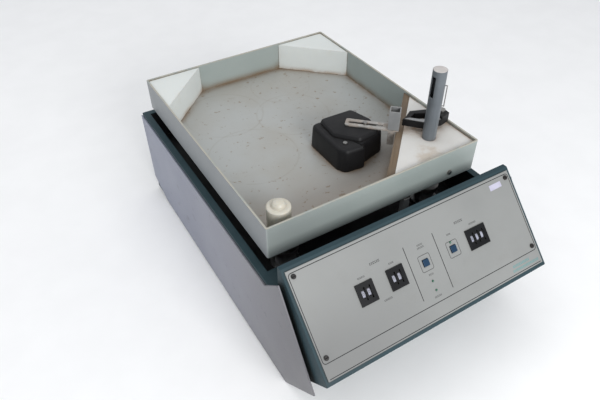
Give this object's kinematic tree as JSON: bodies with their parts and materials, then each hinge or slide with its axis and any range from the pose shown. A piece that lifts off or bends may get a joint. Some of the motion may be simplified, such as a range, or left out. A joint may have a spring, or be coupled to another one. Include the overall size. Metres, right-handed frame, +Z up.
{
  "type": "orbital shaker",
  "caption": "Bench shaker with a painted open tray on a hidden orbital drive, a sloped control panel with preset switches, and clamps and guides fixed in the tray.",
  "frame": {"origin": "on the bench under the middle of the housing's outline", "axes": "+X to the operator's right, +Y to the back, +Z up; the sloped control panel faces -Y and up"},
  "size_m": [0.3626, 0.5584, 0.324],
  "materials": {
    "teal_paint": "satin dark teal enamel, lightly worn at the edges",
    "side_plate_paint": "satin lavender-grey paint",
    "panel_print": "light grey screen-printed panel film",
    "black_paint": "satin black paint",
    "tray_paint": "grey-green paint, worn pale along the rim, stained inside",
    "white_plastic": "machined white plastic, stained at the edges",
    "tan_board": "tan laminated board",
    "cream_plastic": "yellowed cream plastic",
    "black_plastic": "dull black moulded plastic",
    "rusty_steel": "steel strip with rust and old plating",
    "grey_plastic": "mid grey plastic",
    "post_steel": "blue-grey drawn steel tube",
    "arm_metal": "plain aluminium strip",
    "bright_screw": "plated steel screws",
    "shaft_steel": "ground steel",
    "bearing_steel": "polished bearing steel",
    "machined_aluminium": "turned aluminium",
    "zinc_sheet": "zinc-plated steel sheet",
    "foot_rubber": "black rubber",
    "belt_rubber": "black rubber belt",
    "black_switch": "black moulded plastic",
    "digit_wheel_plastic": "black wheels with white figures",
    "blue_button": "blue moulded caps",
    "green_lamp": "dark green lens",
    "board_laminate": "green glass-fibre laminate",
    "motor_can": "dark grey painted can",
    "transformer_iron": "varnished iron core with a wound coil"
  },
  "bodies": {
    "housing": {"base_pan": "zinc_sheet", "body_shell": "teal_paint", "button_switches": "black_switch", "circuit_board": "board_laminate", "console_shell": "teal_paint", "control_fascia": "panel_print", "deck_pan": "black_paint", "drive_belt": "belt_rubber", "drive_motor": "motor_can", "fascia_screws": "bright_screw", "idler_housings": "machined_aluminium", "indicator_lamps": "green_lamp", "left_cheek": "side_plate_paint", "left_preset_switch": "black_switch", "main_bearing_housing": "machined_aluminium", "middle_preset_switch": "black_switch", "power_inlet": "black_switch", "right_cheek": "side_plate_paint", "right_preset_switch": "black_switch", "rubber_feet": "foot_rubber", "shaft_bearings": "bearing_steel", "transformer": "transformer_iron", "transit_post": "grey_plastic"},
    "crank": {"main_crank": "shaft_steel", "crank_pulley": "machined_aluminium", "counterweight": "shaft_steel"},
    "motor_rotor": {"motor_pulley": "machined_aluminium"},
    "left_idler": {"left_idler_crank": "shaft_steel"},
    "right_idler": {"right_idler_crank": "shaft_steel"},
    "rear_idler": {"rear_idler_crank": "shaft_steel"},
    "tray": {"tray_pan": "tray_paint", "tray_carrier": "machined_aluminium", "carrier_bearings": "bearing_steel", "tray_screws": "bright_screw", "front_right_block": "white_plastic", "back_left_block": "white_plastic", "back_right_block": "white_plastic", "facing_board": "tan_board", "roller_pin": "shaft_steel", "round_post": "post_steel", "post_clip": "shaft_steel", "arm_pivot_screw": "bright_screw", "head_housing": "black_plastic", "head_lid": "black_plastic", "head_screws": "bright_screw"},
    "roller": {"guide_roller": "cream_plastic"},
    "arm": {"swing_arm": "black_plastic", "arm_strip": "arm_metal"},
    "bracket": {"slotted_bracket": "rusty_steel", "square_socket": "grey_plastic"},
    "left_button_cap": {"left_button": "blue_button"},
    "right_button_cap": {"right_button": "blue_button"},
    "mains_rocker_key": {"mains_rocker": "black_switch"},
    "left_digit_wheel_1_body": {"left_digit_wheel_1": "digit_wheel_plastic"},
    "left_digit_wheel_2_body": {"left_digit_wheel_2": "digit_wheel_plastic"},
    "middle_digit_wheel_1_body": {"middle_digit_wheel_1": "digit_wheel_plastic"},
    "middle_digit_wheel_2_body": {"middle_digit_wheel_2": "digit_wheel_plastic"},
    "right_digit_wheel_1_body": {"right_digit_wheel_1": "digit_wheel_plastic"},
    "right_digit_wheel_2_body": {"right_digit_wheel_2": "digit_wheel_plastic"},
    "right_digit_wheel_3_body": {"right_digit_wheel_3": "digit_wheel_plastic"}
  },
  "joints": [
    {"name": "drive_spin", "type": "hinge", "parent": "housing", "child": "crank", "pos_m": [0, 0.0555, 0.12], "axis": [0, 0, 1], "continuous": true},
    {"name": "tray_orbit", "type": "hinge", "parent": "crank", "child": "tray", "pos_m": [0, 0.0655, 0.156], "axis": [0, 0, 1], "continuous": true},
    {"name": "motor_spin", "type": "hinge", "parent": "housing", "child": "motor_rotor", "pos_m": [0, -0.062, 0.12], "axis": [0, 0, 1], "continuous": true},
    {"name": "left_idler_spin", "type": "hinge", "parent": "housing", "child": "left_idler", "pos_m": [-0.12, -0.0945, 0.12], "axis": [0, 0, 1], "continuous": true},
    {"name": "right_idler_spin", "type": "hinge", "parent": "housing", "child": "right_idler", "pos_m": [0.12, -0.0945, 0.12], "axis": [0, 0, 1], "continuous": true},
    {"name": "rear_idler_spin", "type": "hinge", "parent": "housing", "child": "rear_idler", "pos_m": [0, 0.2105, 0.12], "axis": [0, 0, 1], "continuous": true},
    {"name": "guide_roller_spin", "type": "hinge", "parent": "tray", "child": "roller", "pos_m": [-0.1315, -0.1033, 0.2], "axis": [0, 0, 1], "continuous": true},
    {"name": "arm_swing", "type": "hinge", "parent": "tray", "child": "arm", "pos_m": [0.154, -0.068, 0.23], "axis": [0, 0, 1], "range_deg": [-60, 5]},
    {"name": "bracket_slide", "type": "slide", "parent": "tray", "child": "bracket", "axis": [-0.7071, 0.7071, 0], "range_m": [0, 0.008]},
    {"name": "mains_rocker_tilt", "type": "hinge", "parent": "housing", "child": "mains_rocker_key", "pos_m": [-0.118, 0.2736, 0.076], "axis": [1, 0, 0], "range_deg": [0, 16]},
    {"name": "left_button_press", "type": "slide", "parent": "housing", "child": "left_button_cap", "axis": [0, 0.7071, -0.7071], "range_m": [0, 0.0012], "stiffness_N_per_m": 300, "springref_m": -0.002},
    {"name": "right_button_press", "type": "slide", "parent": "housing", "child": "right_button_cap", "axis": [0, 0.7071, -0.7071], "range_m": [0, 0.0012], "stiffness_N_per_m": 300, "springref_m": -0.002},
    {"name": "left_digit_wheel_1_spin", "type": "hinge", "parent": "housing", "child": "left_digit_wheel_1_body", "pos_m": [-0.0913, -0.22191, 0.15488], "axis": [1, 0, 0], "continuous": true},
    {"name": "left_digit_wheel_2_spin", "type": "hinge", "parent": "housing", "child": "left_digit_wheel_2_body", "pos_m": [-0.0833, -0.22191, 0.15488], "axis": [1, 0, 0], "continuous": true},
    {"name": "middle_digit_wheel_1_spin", "type": "hinge", "parent": "housing", "child": "middle_digit_wheel_1_body", "pos_m": [-0.0468, -0.22191, 0.15488], "axis": [1, 0, 0], "continuous": true},
    {"name": "middle_digit_wheel_2_spin", "type": "hinge", "parent": "housing", "child": "middle_digit_wheel_2_body", "pos_m": [-0.0388, -0.22191, 0.15488], "axis": [1, 0, 0], "continuous": true},
    {"name": "right_digit_wheel_1_spin", "type": "hinge", "parent": "housing", "child": "right_digit_wheel_1_body", "pos_m": [0.0784, -0.22191, 0.15488], "axis": [1, 0, 0], "continuous": true},
    {"name": "right_digit_wheel_2_spin", "type": "hinge", "parent": "housing", "child": "right_digit_wheel_2_body", "pos_m": [0.0864, -0.22191, 0.15488], "axis": [1, 0, 0], "continuous": true},
    {"name": "right_digit_wheel_3_spin", "type": "hinge", "parent": "housing", "child": "right_digit_wheel_3_body", "pos_m": [0.0944, -0.22191, 0.15488], "axis": [1, 0, 0], "continuous": true}
  ],
  "couplings": [
    {"joint": "tray_orbit", "follows": "drive_spin", "ratio": -1},
    {"joint": "motor_spin", "follows": "drive_spin", "ratio": 3.0769},
    {"joint": "left_idler_spin", "follows": "drive_spin", "ratio": 1},
    {"joint": "right_idler_spin", "follows": "drive_spin", "ratio": 1},
    {"joint": "rear_idler_spin", "follows": "drive_spin", "ratio": 1}
  ]
}
